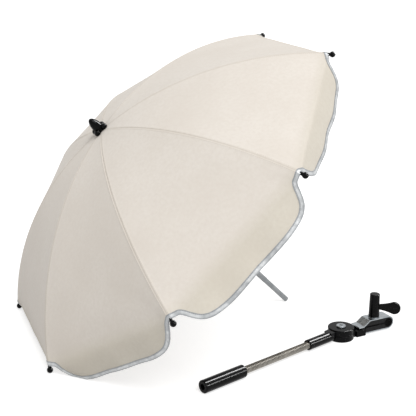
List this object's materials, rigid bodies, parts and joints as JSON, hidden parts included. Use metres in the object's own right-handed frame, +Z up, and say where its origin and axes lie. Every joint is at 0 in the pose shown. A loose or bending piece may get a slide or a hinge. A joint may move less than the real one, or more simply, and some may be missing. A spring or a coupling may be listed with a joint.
{
  "type": "pram parasol",
  "caption": "Folding fabric sunshade on a slim pole, lying open beside its clamp arm with a pole socket, flexible neck, hinge disc and screw tube clamp.",
  "frame": {"origin": "on the floor, under the middle of the parasol and its arm as they lie", "axes": "+Z up from the floor, +X from the canopy's back towards its open side and the pole's end"},
  "size_m": [0.5794, 0.6986, 0.4639],
  "materials": {
    "canopy_cloth": "plain woven, cream",
    "rib_steel": "plated wire",
    "pole_tube": "satin silver-grey coat",
    "black_plastic": "moulded, satin to gloss",
    "zinc_steel": "bright zinc plate",
    "neck_steel": "wound steel wire",
    "pad_rubber": "matt"
  },
  "bodies": {
    "pole": {"pole": "pole_tube", "finial": "black_plastic", "crown": "black_plastic", "crown_wire": "rib_steel", "pole_end_plug": "pole_tube"},
    "runner": {"runner": "black_plastic", "runner_wire": "rib_steel"},
    "button": {"runner_button": "black_plastic"},
    "rib_1": {"rib_1": "rib_steel", "rib_tip_1": "black_plastic", "canopy_panel_1": "canopy_cloth"},
    "stretcher_1": {"stretcher_1": "rib_steel"},
    "rib_2": {"rib_2": "rib_steel", "rib_tip_2": "black_plastic", "canopy_panel_2": "canopy_cloth"},
    "stretcher_2": {"stretcher_2": "rib_steel"},
    "rib_3": {"rib_3": "rib_steel", "rib_tip_3": "black_plastic", "canopy_panel_3": "canopy_cloth"},
    "stretcher_3": {"stretcher_3": "rib_steel"},
    "rib_4": {"rib_4": "rib_steel", "rib_tip_4": "black_plastic", "canopy_panel_4": "canopy_cloth"},
    "stretcher_4": {"stretcher_4": "rib_steel"},
    "rib_5": {"rib_5": "rib_steel", "rib_tip_5": "black_plastic", "canopy_panel_5": "canopy_cloth"},
    "stretcher_5": {"stretcher_5": "rib_steel"},
    "rib_6": {"rib_6": "rib_steel", "rib_tip_6": "black_plastic", "canopy_panel_6": "canopy_cloth"},
    "stretcher_6": {"stretcher_6": "rib_steel"},
    "rib_7": {"rib_7": "rib_steel", "rib_tip_7": "black_plastic", "canopy_panel_7": "canopy_cloth"},
    "stretcher_7": {"stretcher_7": "rib_steel"},
    "rib_8": {"rib_8": "rib_steel", "rib_tip_8": "black_plastic", "canopy_panel_8": "canopy_cloth"},
    "stretcher_8": {"stretcher_8": "rib_steel"},
    "arm": {"hinge_arm": "black_plastic", "neck_set_screw": "zinc_steel", "gooseneck": "neck_steel", "gooseneck_core": "neck_steel"},
    "socket": {"pole_socket": "black_plastic"},
    "clamp": {"clamp_base": "black_plastic", "hinge_screw": "zinc_steel", "hinge_nut": "zinc_steel", "lower_jaw": "zinc_steel", "lower_pad": "pad_rubber", "clamp_bolt": "zinc_steel", "jaw_pin": "zinc_steel"},
    "jaw": {"upper_jaw": "zinc_steel", "upper_pad": "pad_rubber"},
    "washer": {"knob_washer": "zinc_steel"},
    "knob": {"wing_knob": "black_plastic"}
  },
  "joints": [
    {"name": "runner_slide", "type": "slide", "parent": "pole", "child": "runner", "axis": [0.7027, 0, -0.7115], "range_m": [0, 0.24167]},
    {"name": "rib_1_hinge", "type": "hinge", "parent": "pole", "child": "rib_1", "pos_m": [-0.16277, 0.00421, 0.32674], "axis": [-0.2723, -0.9239, -0.2689], "range_deg": [0, 66.16], "deforming": ["canopy_panel_1"]},
    {"name": "stretcher_1_hinge", "type": "hinge", "parent": "rib_1", "child": "stretcher_1", "pos_m": [-0.2416, 0.06204, 0.20788], "axis": [0.2723, 0.9239, 0.2689], "range_deg": [0, 132.32]},
    {"name": "rib_2_hinge", "type": "hinge", "parent": "pole", "child": "rib_2", "pos_m": [-0.16277, -0.00421, 0.32674], "axis": [0.2723, -0.9239, 0.2689], "range_deg": [0, 66.16], "deforming": ["canopy_panel_2"]},
    {"name": "stretcher_2_hinge", "type": "hinge", "parent": "rib_2", "child": "stretcher_2", "pos_m": [-0.2416, -0.06204, 0.20788], "axis": [-0.2723, 0.9239, -0.2689], "range_deg": [0, 132.32]},
    {"name": "rib_3_hinge", "type": "hinge", "parent": "pole", "child": "rib_3", "pos_m": [-0.15854, -0.01016, 0.33093], "axis": [0.6574, -0.3827, 0.6492], "range_deg": [0, 66.16], "deforming": ["canopy_panel_3"]},
    {"name": "stretcher_3_hinge", "type": "hinge", "parent": "rib_3", "child": "stretcher_3", "pos_m": [-0.17918, -0.14978, 0.26953], "axis": [-0.6574, 0.3827, -0.6492], "range_deg": [0, 132.32]},
    {"name": "rib_4_hinge", "type": "hinge", "parent": "pole", "child": "rib_4", "pos_m": [-0.15254, -0.01016, 0.33684], "axis": [0.6574, 0.3827, 0.6492], "range_deg": [0, 66.16], "deforming": ["canopy_panel_4"]},
    {"name": "stretcher_4_hinge", "type": "hinge", "parent": "rib_4", "child": "stretcher_4", "pos_m": [-0.09089, -0.14978, 0.35671], "axis": [-0.6574, -0.3827, -0.6492], "range_deg": [0, 132.32]},
    {"name": "rib_5_hinge", "type": "hinge", "parent": "pole", "child": "rib_5", "pos_m": [-0.14831, -0.00421, 0.34103], "axis": [0.2723, 0.9239, 0.2689], "range_deg": [0, 66.16], "deforming": ["canopy_panel_5"]},
    {"name": "stretcher_5_hinge", "type": "hinge", "parent": "rib_5", "child": "stretcher_5", "pos_m": [-0.02846, -0.06204, 0.41836], "axis": [-0.2723, -0.9239, -0.2689], "range_deg": [0, 132.32]},
    {"name": "rib_6_hinge", "type": "hinge", "parent": "pole", "child": "rib_6", "pos_m": [-0.14831, 0.00421, 0.34103], "axis": [-0.2723, 0.9239, -0.2689], "range_deg": [0, 66.16], "deforming": ["canopy_panel_6"]},
    {"name": "stretcher_6_hinge", "type": "hinge", "parent": "rib_6", "child": "stretcher_6", "pos_m": [-0.02846, 0.06204, 0.41836], "axis": [0.2723, -0.9239, 0.2689], "range_deg": [0, 132.32]},
    {"name": "rib_7_hinge", "type": "hinge", "parent": "pole", "child": "rib_7", "pos_m": [-0.15254, 0.01016, 0.33684], "axis": [-0.6574, 0.3827, -0.6492], "range_deg": [0, 66.16], "deforming": ["canopy_panel_7"]},
    {"name": "stretcher_7_hinge", "type": "hinge", "parent": "rib_7", "child": "stretcher_7", "pos_m": [-0.09089, 0.14978, 0.35671], "axis": [0.6574, -0.3827, 0.6492], "range_deg": [0, 132.32]},
    {"name": "rib_8_hinge", "type": "hinge", "parent": "pole", "child": "rib_8", "pos_m": [-0.15854, 0.01016, 0.33093], "axis": [-0.6574, -0.3827, -0.6492], "range_deg": [0, 66.16], "deforming": ["canopy_panel_8"]},
    {"name": "stretcher_8_hinge", "type": "hinge", "parent": "rib_8", "child": "stretcher_8", "pos_m": [-0.17918, 0.14978, 0.26953], "axis": [0.6574, 0.3827, 0.6492], "range_deg": [0, 132.32]},
    {"name": "button_press", "type": "slide", "parent": "runner", "child": "button", "axis": [0.7115, 0, 0.7027], "range_m": [0, 0.002], "stiffness_N_per_m": 600},
    {"name": "arm_lift", "type": "slide", "parent": "pole", "child": "arm", "axis": [0, -0.7071, 0.7071], "range_m": [0, 0.45]},
    {"name": "neck_bend", "type": "hinge", "parent": "arm", "child": "socket", "pos_m": [0.04882, -0.22562, 0.01], "axis": [0, 0, 1], "range_deg": [-75, 75], "deforming": ["gooseneck", "gooseneck_core"]},
    {"name": "disc_hinge", "type": "hinge", "parent": "arm", "child": "clamp", "pos_m": [0.18789, -0.175, 0], "axis": [0, 0, 1], "range_deg": [-107, 133]},
    {"name": "washer_rise", "type": "slide", "parent": "clamp", "child": "washer", "axis": [0, 0, 1], "range_m": [0, 0.01]},
    {"name": "knob_turn", "type": "hinge", "parent": "washer", "child": "knob", "pos_m": [0.2534, -0.16696, 0.0246], "axis": [0, 0, 1], "range_deg": [0, 3600]},
    {"name": "jaw_open", "type": "hinge", "parent": "clamp", "child": "jaw", "pos_m": [0.22462, -0.17049, 0.0105], "axis": [0.1219, -0.9925, 0], "range_deg": [0, 13.74]}
  ],
  "couplings": [
    {"joint": "rib_1_hinge", "follows": "runner_slide", "rad_per_m": 4.778},
    {"joint": "stretcher_1_hinge", "follows": "runner_slide", "rad_per_m": 9.556},
    {"joint": "rib_2_hinge", "follows": "runner_slide", "rad_per_m": 4.778},
    {"joint": "stretcher_2_hinge", "follows": "runner_slide", "rad_per_m": 9.556},
    {"joint": "rib_3_hinge", "follows": "runner_slide", "rad_per_m": 4.778},
    {"joint": "stretcher_3_hinge", "follows": "runner_slide", "rad_per_m": 9.556},
    {"joint": "rib_4_hinge", "follows": "runner_slide", "rad_per_m": 4.778},
    {"joint": "stretcher_4_hinge", "follows": "runner_slide", "rad_per_m": 9.556},
    {"joint": "rib_5_hinge", "follows": "runner_slide", "rad_per_m": 4.778},
    {"joint": "stretcher_5_hinge", "follows": "runner_slide", "rad_per_m": 9.556},
    {"joint": "rib_6_hinge", "follows": "runner_slide", "rad_per_m": 4.778},
    {"joint": "stretcher_6_hinge", "follows": "runner_slide", "rad_per_m": 9.556},
    {"joint": "rib_7_hinge", "follows": "runner_slide", "rad_per_m": 4.778},
    {"joint": "stretcher_7_hinge", "follows": "runner_slide", "rad_per_m": 9.556},
    {"joint": "rib_8_hinge", "follows": "runner_slide", "rad_per_m": 4.778},
    {"joint": "stretcher_8_hinge", "follows": "runner_slide", "rad_per_m": 9.556},
    {"joint": "washer_rise", "follows": "knob_turn", "m_per_rad": 0.00015915},
    {"joint": "jaw_open", "follows": "knob_turn", "ratio": 0.0038165}
  ]
}
